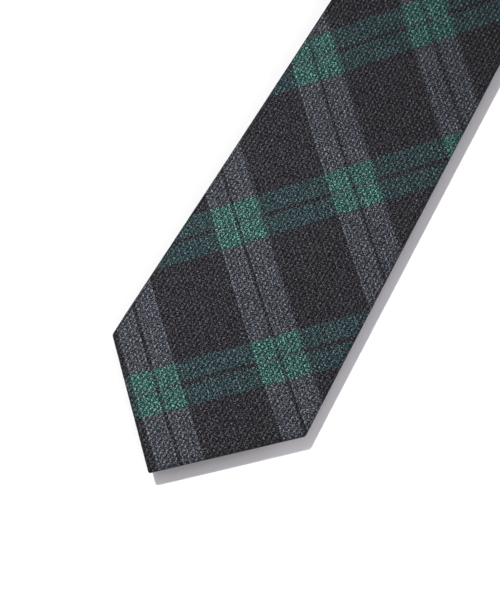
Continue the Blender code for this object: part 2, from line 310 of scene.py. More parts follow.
class Run:
    """Rows down a stretch of the tie, from its point if it has one.

    A row's distance is measured from that point. to_along turns it into a distance along the whole tie, and
    back again.
    """

    def __init__(self, distances, to_along, corners=None):
        self.distances = distances
        self.to_along = to_along
        self.corners = corners

    def corner(self, side, inset):
        """One shoulder's corner, moved in from both of its edges."""
        tip, plus, minus = self.corners
        own = plus if side > 0 else minus
        distance = own[0] + PAST_SHOULDER
        beyond = (distance, side * float(half_width(self.to_along(distance))))
        order = (tip, own, beyond) if side > 0 else (beyond, own, tip)
        return inset_corner(*[np.array(p) for p in order], inset)

    def side_rows(self, distances, side, inset):
        """(distance, across) at places down one straight side."""
        return np.stack([distances, side * (half_width(self.to_along(distances)) - inset)], -1)

    def edge(self, side, inset):
        """Rows of (along, across) down one edge, inset from it, round its corners."""
        if self.corners is None:
            return self.side_rows(self.distances, side, inset)
        tip_out, plus, minus = [np.array(p) for p in self.corners]
        tip = inset_corner(minus, tip_out, plus, inset)
        corner, other = self.corner(side, inset), self.corner(-side, inset)
        own = (plus if side > 0 else minus)[0]
        out, back = unit(corner - tip), unit(other - tip)
        radius = max(CORNER_ROUND - inset, LEAST_ROUND)
        rows = self.distances[1:]
        fade = np.clip(1 - (rows - own) / SHOULDER_FADE, 0, 1) ** 2
        sides = self.side_rows(rows + (corner[0] - own) * fade, side, inset)
        away = unit(sides[0] - corner)
        first, last = tip + out * radius, corner - out * radius
        nose = [bezier(tip + back * radius, tip, first, t) for t in NOSE_ROWS]
        straight = [first + (last - first) * t for t in TIP_ROWS]
        bend = [bezier(last, corner, corner + away * radius, t) for t in BEND_ROWS]
        path = np.concatenate([nose, straight, bend, sides])
        path[:, 0] = self.to_along(path[:, 0])
        return path


def with_seam_rows(marks, at_start, at_end):
    """Extra rows close to an end that is sewn to the next piece, where the cloth dips into the seam."""
    near = np.array([SEAM_DIP, SEAM_DIP / 2, SEAM_DIP / 4])
    start, end = marks[0], marks[-1]
    if at_start:
        marks = np.concatenate([[start], start + near[::-1], marks[1:]])
    if at_end:
        marks = np.concatenate([marks[:-1], end - near, [end]])
    return marks


def front_run(end, sewn=False):
    corners = ((0.0, POINT_ACROSS), (SHOULDER_PLUS, FRONT_HALF), (SHOULDER_MINUS, -FRONT_HALF))
    marks = stations(SHOULDER_MINUS + CORNER_ROUND, end)
    return Run(with_seam_rows(marks, False, sewn), lambda distance: distance, corners)


def tail_run(start, sewn=False):
    corners = ((0.0, 0.0), (TAIL_SHOULDER, TAIL_HALF), (TAIL_SHOULDER, -TAIL_HALF))
    marks = stations(start, TIE_LENGTH - TAIL_SHOULDER - CORNER_ROUND)
    marks = with_seam_rows(marks, sewn, False)
    return Run(TIE_LENGTH - marks[::-1], lambda distance: TIE_LENGTH - distance, corners)


def plain_run(start, end):
    return Run(with_seam_rows(stations(start, end), True, True), lambda distance: distance)


# ---- the shell

RIM = 2.0  # how far in from its edge the cloth starts to roll over
HEM = 7.0  # how far it is folded in behind a point
TURN = 0.2  # radius of a turned-under raw edge
TURN_UNDER = 4.0
LAP = 6.5  # how far the right flap goes under the left one
LAP_DIP = 0.75  # how far it dips to get there
LAP_RUN = 14.0  # from its edge to where the dip starts
LAP_UNDER = 5.0  # from its edge to where the dip ends
LAP_START = 14.0  # the lap grows over this distance from the bar tack
PUFF = 0.12  # how far a flap rises in its middle
SEAM_SINK = 0.4  # the share of its thickness that the tie loses at a cross seam
SEAM_SPREAD = 45.0  # how far from a cross seam the cloth is skewed with it
FOLD_SPREAD = 60.0  # how far from a fold the cloth slips
FRONT_COLUMNS = 26
ROLL_ANGLES = np.linspace(0, math.pi, 11)
FLAP_SHARES = np.linspace(0, 1, 15)[1:]
TURN_ANGLES = np.linspace(0, math.pi, 5)[1:]


def seam_closeness(along):
    """1 at a seam between two pieces of shell, and 0 from SEAM_DIP away."""
    nearest = np.minimum(abs(along - FRONT_SEAM), abs(along - TAIL_SEAM))
    return np.clip(1 - nearest / SEAM_DIP, 0, 1)


def skew(along, across):
    """Moves points along the tie so that its two cross seams run at 45 degrees, and their cloth with them."""
    shift = 0.0
    for seam in (FRONT_SEAM, TAIL_SEAM):
        shift = shift + across * smooth(1 - abs(along - seam) / SEAM_SPREAD)
    return along + shift


def fold_slip(along, depth):
    """How far the cloth's own place runs ahead of along: it goes further round the outside of a fold."""
    folds = ((FAR_FOLD, UPPER_START, 1), (UPPER_END, NECK_START, -1), (NECK_END, TAIL_START, 1))
    slip = 0.0
    for start, end, outside in folds:
        turned = np.clip((along - start) / (end - start), 0, 1) - 0.5
        away = np.maximum(np.maximum(start - along, along - end), 0)
        near = smooth(1 - away / FOLD_SPREAD)
        slip = slip + outside * (THICKNESS / 2 - depth) * turned * math.pi * near
    return slip


def rim_profile():
    """(inset, depth, distance over the cloth) round the rolled edge, from the front face to the back."""
    profile = []
    arc = 0.0
    for angle in ROLL_ANGLES:
        inset = RIM * (1 - math.sin(angle))
        depth = THICKNESS / 2 - (THICKNESS / 2 - PLY / 2) * math.cos(angle)
        if profile:
            arc += math.hypot(inset - profile[-1][0], depth - profile[-1][1])
        profile.append((inset, depth, arc))
    return profile


def flap_profile(flap, lap, arc):
    """The same over the back flap to its edge, round that, and back under it, with arrays over the rows."""
    profile = []
    for share in FLAP_SHARES:
        inset = RIM + (flap - RIM) * share
        dip = lap * LAP_DIP * smooth((inset - (flap - LAP_RUN)) / (LAP_RUN - LAP_UNDER))
        puff = PUFF * np.sin(math.pi * share) * (1 - lap * 0.5)
        profile.append((inset, BACK - PLY / 2 - dip + puff, arc + inset - RIM))
    edge_depth = profile[-1][1]
    end = arc + flap - RIM
    for angle in TURN_ANGLES:
        inset = flap + TURN * math.sin(angle)
        profile.append((inset, edge_depth - TURN * (1 - math.cos(angle)), end + TURN * angle))
    for share in (0.5, 1.0):
        under = TURN_UNDER * share
        profile.append((flap - under, edge_depth - 2 * TURN, end + TURN * math.pi + under))
    return profile


def side_columns(run, side, flap, lap):
    """The cloth on one side of the tie, from where its front starts to roll over to the hem's turned edge.

    flap is how far in from the edge the back flap goes, row by row. lap is 0 to 1, row by row, where this
    flap passes under the other one. Returns the points' (along, across), their depths, where they lie with
    the cloth unrolled, and each column's share of the turn over the edge.
    """
    near, deep = run.edge(side, RIM), run.edge(side, HEM)
    slope = (deep - near) / (HEM - RIM)
    rim = rim_profile()
    profile = rim + flap_profile(flap, lap, rim[-1][2])
    ones = np.ones(len(near))
    insets, depths, rolled = (np.stack([ones * v for v in column], 1) for column in zip(*profile))
    at = near[:, None, :] + slope[:, None, :] * (insets - RIM)[:, :, None]
    unrolled = near[:, None, :] - slope[:, None, :] * rolled[:, :, None]
    rolls = np.zeros(len(profile))
    rolls[: len(rim)] = np.sin(ROLL_ANGLES) ** 2
    return at, depths, unrolled, rolls


def flaps(run, tack):
    """How far the two back flaps reach in, row by row, and where the lower one laps under, from 0 to 1."""
    rows = run.edge(1, HEM)
    half = half_width(rows[:, 0])
    if run.corners is None:
        open_share = np.zeros(len(half))
        past_tack = np.full(len(half), LAP_START)
    else:
        distance = run.to_along(rows[:, 0])
        hem_corner = run.corner(1, HEM)[0]
        open_share = np.clip((tack - distance) / (tack - hem_corner), 0, 1)
        past_tack = distance - tack
    centre = half - (half - HEM) * open_share
    upper = np.where(open_share >= 1, HEM, centre)
    lap = smooth(past_tack / LAP_START)
    return upper, upper + LAP * lap, lap


def shell(name, run, plaid_shift, tack=0.0):
    """One piece of the plaid shell: a tube pressed flat, open down its back, where one flap laps the other.

    plaid_shift is how far into the plaid's repeat it was cut, and tack is where a bar tack holds it closed.
    """
    upper, lower, lap = flaps(run, tack)
    left = side_columns(run, 1, upper, np.zeros(len(lap)))
    right = side_columns(run, -1, lower, lap)
    shares = np.linspace(0, 1, FRONT_COLUMNS + 1)[1:-1]
    first, last = left[0][:, 0], right[0][:, 0]
    front = first[:, None, :] + (last - first)[:, None, :] * shares[None, :, None]
    front_depth = np.full(front.shape[:2], PLY / 2)
    at = np.concatenate([left[0][:, ::-1], front, right[0]], 1)
    depth = np.concatenate([left[1][:, ::-1], front_depth, right[1]], 1)
    unrolled = np.concatenate([left[2][:, ::-1], front, right[2]], 1)
    rolls = np.concatenate([left[3][::-1], np.zeros(front.shape[1]), right[3]])
    along = skew(at[..., 0], at[..., 1])
    sunk = 1 - SEAM_SINK * seam_closeness(at[..., 0]) ** 2
    depth = THICKNESS / 2 + (depth - THICKNESS / 2) * sunk
    points = place(along, at[..., 1], depth).reshape(-1, 3)
    own_along = skew(unrolled[..., 0], unrolled[..., 1]) + fold_slip(along, depth)
    warp, weft = thread_counts(own_along + plaid_shift, unrolled[..., 1])
    cloth = np.stack([warp, weft, np.broadcast_to(rolls, warp.shape)], -1)
    piece = mesh_object(name, points, grid_faces(*along.shape), PLAID, cloth.reshape(-1, 3))
    return thicken(piece, PLY), unrolled


# ---- material helpers


class Graph:
    """Short calls for building one material's nodes. Each returns the new node's output."""

    def __init__(self, name, **settings):
        self.material = bpy.data.materials.new(name)
        self.material.use_nodes = True
        self.nodes = self.material.node_tree.nodes
        self.links = self.material.node_tree.links
        self.shader = self.nodes["Principled BSDF"]
        for key, value in settings.items():
            self.shader.inputs[key].default_value = value

    def put(self, socket, value):
        if isinstance(value, bpy.types.NodeSocket):
            self.links.new(value, socket)
        else:
            socket.default_value = value

    def node(self, kind, out=0, settings=(), **inputs):
        node = self.nodes.new("ShaderNode" + kind)
        for key, value in dict(settings).items():
            setattr(node, key, value)
        for key, value in inputs.items():
            self.put(node.inputs[key.replace("_", " ")], value)
        return node.outputs[out]

    def math(self, operation, *values):
        node = self.nodes.new("ShaderNodeMath")
        node.operation = operation
        for socket, value in zip(node.inputs, values):
            self.put(socket, value)
        return node.outputs[0]

    def plus(self, a, b):
        return self.math("ADD", a, b)

    def minus(self, a, b):
        return self.math("SUBTRACT", a, b)

    def times(self, a, b):
        return self.math("MULTIPLY", a, b)

    def times_plus(self, a, b, c):
        """a * b + c."""
        return self.math("MULTIPLY_ADD", a, b, c)

    def vector(self, operation, a, b):
        node = self.nodes.new("ShaderNodeVectorMath")
        node.operation = operation
        self.put(node.inputs[0], a)
        self.put(node.inputs[1], b)
        return node.outputs[0]

    def even(self, value):
        """A vector with value in all three places, to scale a colour by."""
        return self.node("CombineXYZ", X=value, Y=value, Z=value)

    def mix(self, factor, a, b, blend="MIX"):
        node = self.nodes.new("ShaderNodeMix")
        node.data_type = "RGBA"
        node.blend_type = blend
        self.put(node.inputs[0], factor)
        self.put(node.inputs[6], (*a, 1) if isinstance(a, tuple) else a)
        self.put(node.inputs[7], (*b, 1) if isinstance(b, tuple) else b)
        return node.outputs[2]

    def ramp(self, value, low, high, to_low=0.0, to_high=1.0):
        """value from low..high to to_low..to_high, eased at both ends."""
        settings = {"interpolation_type": "SMOOTHSTEP"}
        out = self.node("MapRange", settings=settings, Value=value, From_Min=low, From_Max=high)
        if (to_low, to_high) == (0.0, 1.0):
            return out
        return self.times_plus(out, to_high - to_low, to_low)

    def noise(self, vector, scale, detail=2.0):
        return self.node("TexNoise", Vector=vector, Scale=scale, Detail=detail, Roughness=0.6)

    def white(self, x, y, z):
        return self.node("TexWhiteNoise", Vector=self.node("CombineXYZ", X=x, Y=y, Z=z))

    def cloth(self):
        """The cloth's own place: a vector, its two distances in millimetres, and its share of a turn."""
        vector = self.node("Attribute", out="Vector", settings={"attribute_name": "cloth"})
        parts = self.nodes.new("ShaderNodeSeparateXYZ")
        self.links.new(vector, parts.inputs[0])
        return vector, parts.outputs[0], parts.outputs[1], parts.outputs[2]

    def bump(self, height, millimetres, strength=1.0):
        normal = self.node("Bump", Height=height, Distance=millimetres * MM, Strength=strength)
        self.links.new(normal, self.shader.inputs["Normal"])

    def paint(self, colour):
        self.links.new(colour, self.shader.inputs["Base Color"])


# ---- the plaid

WARP_PITCH = 1.06
WEFT_PITCH = 0.885

# The middle of the first band, the distance from band to band, the width, and the width of its dark line.
GREY_BAND = (12.07, 42.75, 16.5, 1.15)
GREEN_BAND = (26.32, 48.35, 15.5, 1.4)

# The gaps and the flecks of each kind of ground, before the uneven dye and painted shade below.
# The gaps are darker partly from the yarns and partly as painted shade between the threads.
BLACK = ((0.0040, 0.0038, 0.0058), (0.0417, 0.0410, 0.0457))
GREY = ((0.0105, 0.0118, 0.0160), (0.0900, 0.0962, 0.1113))
GREEN = ((0.0038, 0.0105, 0.0122), (0.0490, 0.0798, 0.0853))
CROSSING = ((0.0035, 0.0215, 0.0190), (0.0734, 0.1683, 0.1499))

# How strong each part of the weave is.
WANDER = 0.7  # of the threads, in millimetres
ROWS = 0.18
BREAKS = 0.09
PAIRS = 0.07
SINGLES = 0.10
DASHES = 0.95
FINE = 4.2
CELLS = 0.2
RIBS = 0.3

WANDER_SCALE = 0.5
DASH_OVER = 1.35  # the dashes are longer down the tie than over it
DASH_DOWN = 0.55
FINE_SCALE = 2.5
CELL_SEED = 3.0
ENDS = 3  # fine ends side by side in one thread
RIB_MEAN = 0.64

# From the height of the weave to how bright a fleck is; the low gaps get painted shade.
GAIN = 2.3
OFFSET = -0.955
CONTRAST = 1.35

# Uneven dye, which is the cloth's own, and painted shade: darker rolled edges, and a slow fall of light
# up the tie and across it.
BLOTCH_SCALE = 0.06
BLOTCH = 0.2
BLOTCH_LOW = 0.84
# Painted shade where the cloth turns over an edge.
EDGE_SHADE = 0.45
FAR_UP = (150.0, 400.0)  # where the change up the tie starts and ends, in threads of both kinds together
# Painted shade: the cloth darkens up the tie as the light falls off. The next three soften the weave there.
TOP_SHADE = 0.14
TOP_SOFT = 0.2
TOP_ROWS = 0.08
FINE_TOP = 0.4
# Painted shade across the tie: one long side lighter and the other darker, as the light falls on it.
SIDE_REACH = 55.0
SIDE_SHADE_LOW = 1.09
SIDE_SHADE_HIGH = 0.885


def band(graph, position, pitch, middle, period, width, line, fainter=0.0):
    """1 in the bands that repeat along position, and 0 outside them and on the dark line down their middle.

    A band ends at whole threads, which are pitch apart. The line is half as dark where fainter is 1.
    """
    def off_middle(place):
        shifted = graph.times_plus(place, 1 / period, 0.5 - middle / period)
        off = graph.times(graph.minus(graph.math("FRACT", shifted), 0.5), period)
        return graph.math("ABSOLUTE", off)

    thread = graph.math("FLOOR", graph.times(position, 1 / pitch))
    thread_middle = graph.times_plus(thread, pitch, pitch / 2)
    inside = graph.math("LESS_THAN", off_middle(thread_middle), width / 2)
    dark = graph.ramp(off_middle(position), line * 0.65, line * 0.35)
    dark = graph.times(dark, graph.times_plus(fainter, -0.5, 1.0))
    return graph.times(inside, graph.minus(1.0, dark))


def thread_place(graph, vector, position, pitch, seed):
    """position counted in threads, which wander a little."""
    noise = graph.noise(graph.vector("ADD", vector, (seed, 2 * seed, seed)), WANDER_SCALE)
    wandered = graph.times_plus(graph.minus(noise, 0.5), WANDER, position)
    return graph.times(wandered, 1 / pitch)


def flecks(graph, u, v, far_up):
    """Floats that show in every other cell, and that their twist joins into flecks down the tie."""
    down, over = graph.plus(u, v), graph.minus(u, v)
    rows = graph.math("COSINE", graph.times(over, math.pi))
    breaks = graph.math("COSINE", graph.times(down, math.pi))
    singles = graph.math("COSINE", graph.times(u, 2 * math.pi))
    pairs = graph.math("SINE", graph.times(u, math.pi))
    height = graph.times(rows, graph.times_plus(far_up, TOP_ROWS, ROWS))
    height = graph.plus(height, graph.times_plus(breaks, -BREAKS, 0.5))
    height = graph.times_plus(singles, -SINGLES, graph.times_plus(pairs, PAIRS, height))
    dash_space = graph.node("CombineXYZ", X=graph.times(over, DASH_OVER), Y=graph.times(down, DASH_DOWN))
    dashes = graph.minus(graph.noise(dash_space, 1.0, 1.0), 0.5)
    return graph.times_plus(dashes, DASHES, height)


def unevenness(graph, u, v, far_up, height):
    """height with fine noise and a little from cell to cell."""
    fine = graph.minus(graph.noise(graph.node("CombineXYZ", X=u, Y=v), FINE_SCALE, 1.0), 0.5)
    fine = graph.times(fine, graph.times_plus(far_up, FINE_TOP - 1, 1.0))
    cells = graph.minus(graph.white(graph.math("FLOOR", u), graph.math("FLOOR", v), CELL_SEED), 0.5)
    return graph.times_plus(cells, CELLS, graph.times_plus(fine, FINE, height))


def ribs(graph, u, v, height):
    """Close up, each float is a few fine ends side by side, and the gaps show ends that cross them."""
    def ends(position):
        return graph.math("ABSOLUTE", graph.math("SINE", graph.times(position, math.pi * ENDS)))

    on_float = graph.ramp(height, 0.35, 0.6)
    float_ribs = graph.times(ends(u), on_float)
    gap_ribs = graph.times(ends(v), graph.minus(1.0, on_float))
    return graph.minus(graph.plus(float_ribs, gap_ribs), RIB_MEAN)


def weave(graph, vector, warp_mm, weft_mm, far_up):
    """Height of a coarse crepe weave, about 0 in its gaps and 1 on its flecks."""
    u = thread_place(graph, vector, warp_mm, WARP_PITCH, 0.0)
    v = thread_place(graph, vector, weft_mm, WEFT_PITCH, 31.0)
    height = unevenness(graph, u, v, far_up, flecks(graph, u, v, far_up))
    height = graph.times_plus(ribs(graph, u, v, height), RIBS, height)
    softer = graph.times_plus(far_up, -TOP_SOFT, 1.0)
    return graph.times_plus(graph.minus(height, 0.5), softer, 0.5)


def yarn_colour_and_gap_shade(graph, warp_mm, weft_mm, bright):
    """The dyed yarns, with painted shade in the weave's gaps. Each ground goes from the colour of its gaps,
    at 0, to that of its flecks, at 1.
    """
    grey = band(graph, warp_mm, WARP_PITCH, *GREY_BAND)
    green = band(graph, weft_mm, WEFT_PITCH, *GREEN_BAND, fainter=grey)

    def ground(which):
        black_or_grey = graph.mix(grey, BLACK[which], GREY[which])
        green_or_crossing = graph.mix(grey, GREEN[which], CROSSING[which])
        return graph.mix(green, black_or_grey, green_or_crossing)

    low, high = ground(0), ground(1)
    spread = graph.vector("SUBTRACT", high, low)
    return graph.vector("ADD", low, graph.vector("MULTIPLY", spread, graph.even(bright)))


def dye_and_painted_shade(graph, vector, warp_mm, weft_mm, roll, far_up):
    """How light the cloth is from place to place, about 1 on the front of the blade: uneven dye times painted
    shade on the rolled edges, up the tie and across it.
    """
    blotch = graph.times_plus(graph.noise(vector, BLOTCH_SCALE), BLOTCH, BLOTCH_LOW)
    # Painted shade on the rolled edges.
    shade = graph.times(blotch, graph.times_plus(roll, -EDGE_SHADE, 1.0))
    # Painted shade: darker up the tie, as the light falls off.
    shade = graph.times(shade, graph.times_plus(far_up, -TOP_SHADE, 1.0))
    # Painted shade: one long side of the tie darker than the other.
    aside = graph.minus(warp_mm, weft_mm)
    return graph.times(shade, graph.ramp(aside, -SIDE_REACH, SIDE_REACH, SIDE_SHADE_LOW, SIDE_SHADE_HIGH))


def plaid_material():
    """Yarn-dyed plaid: black, with grey bands in the warp and green ones in the weft."""
    graph = Graph("plaid", **{"Roughness": 0.85, "Sheen Weight": 0.05, "Sheen Roughness": 0.5,
                              "Sheen Tint": (0.75, 0.8, 0.85, 1), "Specular IOR Level": 0.15})
    vector, warp_mm, weft_mm, roll = graph.cloth()
    far_up = graph.ramp(graph.plus(warp_mm, weft_mm), *FAR_UP)
    height = weave(graph, vector, warp_mm, weft_mm, far_up)
    bright = graph.math("MAXIMUM", graph.times_plus(height, GAIN, OFFSET), 0.0)
    colour = yarn_colour_and_gap_shade(graph, warp_mm, weft_mm, graph.math("POWER", bright, CONTRAST))
    shade = dye_and_painted_shade(graph, vector, warp_mm, weft_mm, roll, far_up)
    graph.paint(graph.vector("MULTIPLY", colour, graph.even(shade)))
    graph.put(graph.shader.inputs["Roughness"], graph.ramp(height, 0.2, 0.9, 0.95, 0.75))
    graph.bump(height, 0.10, 0.6)
    return graph.material


# ---- the other materials

LINING_THREAD = 0.16
LABEL_THREAD = 0.22
CANVAS_THREAD = 0.8


def satin_material(name, colour, sheen_colour, thread):
    """Fine satin: long floats with a soft shine across them."""
    graph = Graph(name, **{"Roughness": 0.38, "Specular IOR Level": 0.22, "Sheen Weight": 0.04,
                           "Sheen Roughness": 0.3, "Anisotropic": 0.5, "Sheen Tint": (*sheen_colour, 1)})
    vector, across, _, _ = graph.cloth()
    rows = graph.math("SINE", graph.times(across, 2 * math.pi / thread))
    floats = graph.node("TexBrick", out=1, settings={"offset": 0.4}, Vector=vector, Scale=1.0,
                        Mortar_Size=0.03, Mortar_Smooth=0.6, Brick_Width=1.1, Row_Height=thread)
    tone_and_shade = graph.times_plus(graph.noise(vector, 0.35), 0.5, 0.75)
    # Painted shade: darker in the grooves between threads and in the gaps between floats, over a random tone.
    tone_and_shade = graph.times(tone_and_shade, graph.times_plus(rows, 0.12, 1.0))
    tone_and_shade = graph.times(tone_and_shade, graph.times_plus(floats, -0.3, 1.05))
    graph.paint(graph.mix(1.0, colour, graph.even(tone_and_shade), "MULTIPLY"))
    graph.bump(graph.times_plus(floats, -0.8, graph.times(rows, 0.3)), 0.03, 0.8)
    return graph.material


def canvas_material():
    """Brushed wool canvas: an open plain weave under a fuzzy nap."""
    graph = Graph("canvas", **{"Roughness": 0.95, "Sheen Weight": 0.3, "Sheen Roughness": 0.6,
                               "Specular IOR Level": 0.15})
    vector, across, along, _ = graph.cloth()
    fuzz = graph.noise(vector, 1.6, 5.0)
    warp = graph.math("SINE", graph.times(across, 2 * math.pi / CANVAS_THREAD))
    weft = graph.math("SINE", graph.times(along, 2 * math.pi / CANVAS_THREAD))
    # Painted shade in the weave's low places, over the nap's random tone.
    shade = graph.plus(graph.times(graph.times(warp, weft), 0.3), fuzz)
    graph.paint(graph.mix(graph.ramp(shade, 0.2, 0.8), (0.46, 0.42, 0.34), (0.72, 0.69, 0.61)))
    graph.bump(shade, 0.12, 0.8)
    return graph.material


def thread_material():
    """Twisted sewing thread: plies that wind round it."""
    graph = Graph("sewing_thread", **{"Roughness": 0.5, "Sheen Weight": 0.3, "Specular IOR Level": 0.4})
    vector, around, along, _ = graph.cloth()
    twist = graph.plus(graph.times(along, 9.0), graph.times(around, 2.0))
    plies = graph.math("ABSOLUTE", graph.math("SINE", twist))
    fuzz = graph.noise(vector, 6.0, 3.0)
    # Painted shade: the grooves between the plies are darker.
    shade = graph.times(plies, graph.times_plus(fuzz, 0.6, 0.7))
    graph.paint(graph.mix(shade, (0.02, 0.022, 0.026), (0.11, 0.12, 0.135)))
    graph.bump(plies, 0.05, 1.0)
    return graph.material


PLAID = plaid_material()
LINING = satin_material("lining_satin", (0.010, 0.010, 0.013), (0.7, 0.75, 0.85), LINING_THREAD)
LABEL = satin_material("label_satin", (0.014, 0.015, 0.019), (0.8, 0.82, 0.9), LABEL_THREAD)
LABEL_EDGE = satin_material("label_border", (0.05, 0.17, 0.145), (0.6, 0.9, 0.8), LABEL_THREAD)
CANVAS = canvas_material()
THREAD = thread_material()


# ---- the linings and the labels

CANVAS_PLY = 0.65
CANVAS_INSET = 1.3
CANVAS_CLEAR = 0.1
LINING_PLY = 0.18
TIPPING_INSET = 1.6
TIPPING_DEPTH = 1.86  # under the hem
TIPPING_DROP = 0.52  # how much less deep it is beyond the bar tack
TIPPING_WRINKLE = 0.10
FRONT_TIPPING = 135.0
TAIL_TIPPING = 72.0
LABEL_PLY = 0.2
LABEL_CLEAR = 0.02
BORDER_INSET = 2  # in the label's own grid of faces
BRAND_LABEL = (26.0, 46.0)
BRAND_LABEL_ALONG = 212.0
CARE_LABEL = (22.0, 15.0)
CARE_LABEL_X = 190.0


def layer_sheet(name, at, depth, thickness, material):
    """A sheet from a grid of (along, across) points at given depths."""
    points = place(at[..., 0], at[..., 1], depth).reshape(-1, 3)
    cloth = np.stack([at[..., 1], at[..., 0]], -1).reshape(-1, 2)
    piece = mesh_object(name, points, grid_faces(*at.shape[:2]), material, cloth)
    return thicken(piece, thickness), at


def across_run(run, inset, columns):
    """A grid of (along, across) points between a run's two edges, both moved in by inset."""
    left, right = run.edge(1, inset), run.edge(-1, inset)
    shares = np.linspace(0, 1, columns + 1)[None, :, None]
    return left[:, None] + (right - left)[:, None] * shares


def interlining(name, run):
    at = across_run(run, CANVAS_INSET, 24)
    depth = np.full(at.shape[:2], PLY + CANVAS_PLY / 2 + CANVAS_CLEAR)
    return layer_sheet(name, at, depth, CANVAS_PLY, CANVAS)


def tipping(name, run, tack):
    """The lining in the tie's end. It lies under the hem, and nearer the front face beyond the bar tack."""
    at = across_run(run, TIPPING_INSET, 40)
    distance = abs(run.to_along(at[..., 0]))
    drop = TIPPING_DROP * smooth((distance - tack + 40) / 45)
    share = np.linspace(-1, 1, at.shape[1])[None]
    wrinkle = np.sin(distance / 6.1 + 3 * share) * np.sin(distance / 17 + 1.3 - 2 * share)
    wrinkle = wrinkle * TIPPING_WRINKLE * (1 - abs(share) ** 3)
    return layer_sheet(name, at, TIPPING_DEPTH - drop + wrinkle, LINING_PLY, LINING)


def label(name, middle, size, edge_lift):
    """A blank woven label with a thin border, held at its corners and a little proud between them."""
    length, width = size
    at_x = np.linspace(-length / 2, length / 2, max(9, int(length)) * 2 + 1)
    at_y = np.linspace(-width / 2, width / 2, max(9, int(width)) * 2 + 1)
    x, y = np.meshgrid(at_x, at_y, indexing="ij")
    lift = edge_lift * (1 - (2 * x / length) ** 2 * (2 * y / width) ** 2)
    at = np.stack([middle + x, y], -1)
    piece, _ = layer_sheet(name, at, BACK + LABEL_PLY / 2 + LABEL_CLEAR + lift, LABEL_PLY, LABEL)
    piece.data.materials.append(LABEL_EDGE)
    for face in piece.data.polygons:
        row, column = divmod(face.index, len(at_y) - 1)
        inset = min(row, len(at_x) - 2 - row, column, len(at_y) - 2 - column)
        face.material_index = int(inset == BORDER_INSET)
    return piece, at


# ---- the threads

STITCH_EVERY = 8.5
STITCH_RADIUS = 0.16
STITCH_LEAN = (1.3, 0.75)  # half a slip stitch, along the tie and across it
STITCH_ASIDE = -0.15
STITCH_JITTER = 0.25
BAR_EVERY = 0.26
BAR_RADIUS = 0.13
KNOT_EVERY = 0.24
KNOT_RADIUS = 0.12
SEAM_STITCH_EVERY = 1.9
SEAM_STITCH_HALF = 0.45
SEAM_STITCH_DEPTH = 0.28
SEAM_STITCH_EDGE = 2.5  # how far from the tie's edges they stop


def distances_down(path):
    """How far each point of a path is from its start."""
    return np.concatenate([[0], np.cumsum(np.linalg.norm(np.diff(path, axis=0), axis=1))])


def directions(path):
    """Unit steps down a path."""
    step = np.gradient(path, axis=0)
    return step / np.linalg.norm(step, axis=1)[:, None]


def thread_path(along, across, depth):
    return np.stack(np.broadcast_arrays(along, across, depth), -1)


def tube(name, paths, radius, sides):
    """Round threads along paths given in the tie's own space, thinner at their ends."""
    points, faces, cloth = [], [], []
    for path in paths:
        step = directions(path)
        side = np.cross(step, (0.0, 0.0, 1.0))
        side /= np.linalg.norm(side, axis=1)[:, None] + 1e-9
        up = np.cross(side, step)
        run = distances_down(path)
        taper = np.ones(len(path))
        taper[[0, -1]] = 0.55
        start = len(points)
        for i in range(len(path)):
            for k in range(sides):
                angle = 2 * math.pi * k / sides
                ring = side[i] * math.cos(angle) + up[i] * math.sin(angle)
                points.append(path[i] + ring * radius * taper[i])
                cloth.append((angle, run[i]))
        last = start + (len(path) - 1) * sides
        faces += [tuple(start + v for v in face) for face in grid_faces(len(path), sides, True)]
        faces.append(tuple(start + k for k in range(sides)))
        faces.append(tuple(last + sides - 1 - k for k in range(sides)))
    return mesh_object(name, place(*np.array(points).T), faces, THREAD, np.array(cloth))


def slip_stitches(name, start, end):
    """Long slanted stitches that close the back seam, each over the folded edge and down into the cloth."""
    paths = []
    t = np.linspace(-1, 1, 9)
    depth = BACK + STITCH_RADIUS * (0.6 - 1.8 * t ** 4)
    across = STITCH_ASIDE + STITCH_LEAN[1] * t
    for i, along in enumerate(np.arange(start, end, STITCH_EVERY)):
        jitter = STITCH_JITTER * math.sin(i * 2.3)
        paths.append(thread_path(along + jitter + STITCH_LEAN[0] * t, across, depth))
    return tube(name, paths, STITCH_RADIUS, 7)


def bar_tack(name, along, span):
    """Close satin stitches across the back over a few long core threads."""
    paths = []
    length, width = span
    t = np.linspace(-1, 1, 7)
    lift = 0.12 + 0.26 * (1 - t ** 4)
    for across in np.arange(-width / 2 + 0.12, width / 2, BAR_EVERY):
        lean = 0.05 * math.sin(across * 9)
        paths.append(thread_path(along + lean + t * length / 2, across + 0.05 * t, BACK + lift - 0.14))
    t = np.linspace(-1, 1, 12)
    for offset in (-0.3, 0.0, 0.3):
        paths.append(thread_path(along + offset, t * (width / 2 + 0.2), BACK + 0.1 - 0.1 * t ** 6))
    return tube(name, paths, BAR_RADIUS, 6)


def tack(name, along, across, span, rise=0.0):
    """A small knot of satin stitches across the tie, rise above its back."""
    paths = []
    length, width = span
    t = np.linspace(-1, 1, 7)
    lift = 0.06 + 0.22 * (1 - t ** 4) + rise
    for offset in np.arange(-length / 2 + 0.1, length / 2, KNOT_EVERY):
        paths.append(thread_path(along + offset + 0.04 * t, across + t * width / 2, BACK + lift))
    return tube(name, paths, KNOT_RADIUS, 6)


def seam_stitches(name, seam):
    """The short ladder of thread that shows in a 45-degree seam, on both faces."""
    paths = []
    half = NECK_HALF - SEAM_STITCH_EDGE
    t = np.linspace(-1, 1, 6) * SEAM_STITCH_HALF
    for depth in (SEAM_STITCH_DEPTH, THICKNESS - SEAM_STITCH_DEPTH):
        for across in np.arange(-half, half, SEAM_STITCH_EVERY):
            paths.append(thread_path(seam + across + t, across - t, depth))
    return tube(name, paths, KNOT_RADIUS, 6)


# ---- the keeper

